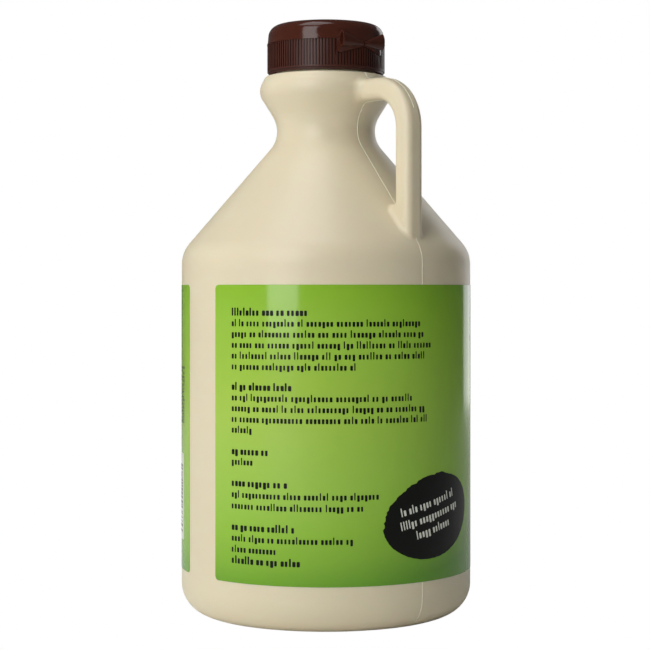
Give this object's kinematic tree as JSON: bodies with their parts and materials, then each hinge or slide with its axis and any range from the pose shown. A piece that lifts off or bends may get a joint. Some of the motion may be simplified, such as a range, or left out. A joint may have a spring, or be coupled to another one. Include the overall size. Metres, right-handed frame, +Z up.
{
  "type": "maple syrup jug",
  "caption": "Shut one-litre round plastic syrup jug, full, with a cone shoulder, a loop handle at the neck, a ribbed flip-top closure and wrap labels.",
  "frame": {"origin": "middle of the base, on the surface the jug stands on", "axes": "+Z up along the jug's axis, +X towards the handle"},
  "size_m": [0.1002, 0.1, 0.203],
  "materials": {
    "jug_plastic": "cream blow-moulded polyethylene, semi-gloss",
    "closure_plastic": "dark brown injection-moulded polypropylene, glossy",
    "label_film": "glossy green printed film"
  },
  "bodies": {
    "root": {"jug_body": "jug_plastic", "cap_base": "closure_plastic", "cap_lid": "closure_plastic", "label_back": "label_film", "label_front": "label_film"}
  },
  "joints": []
}
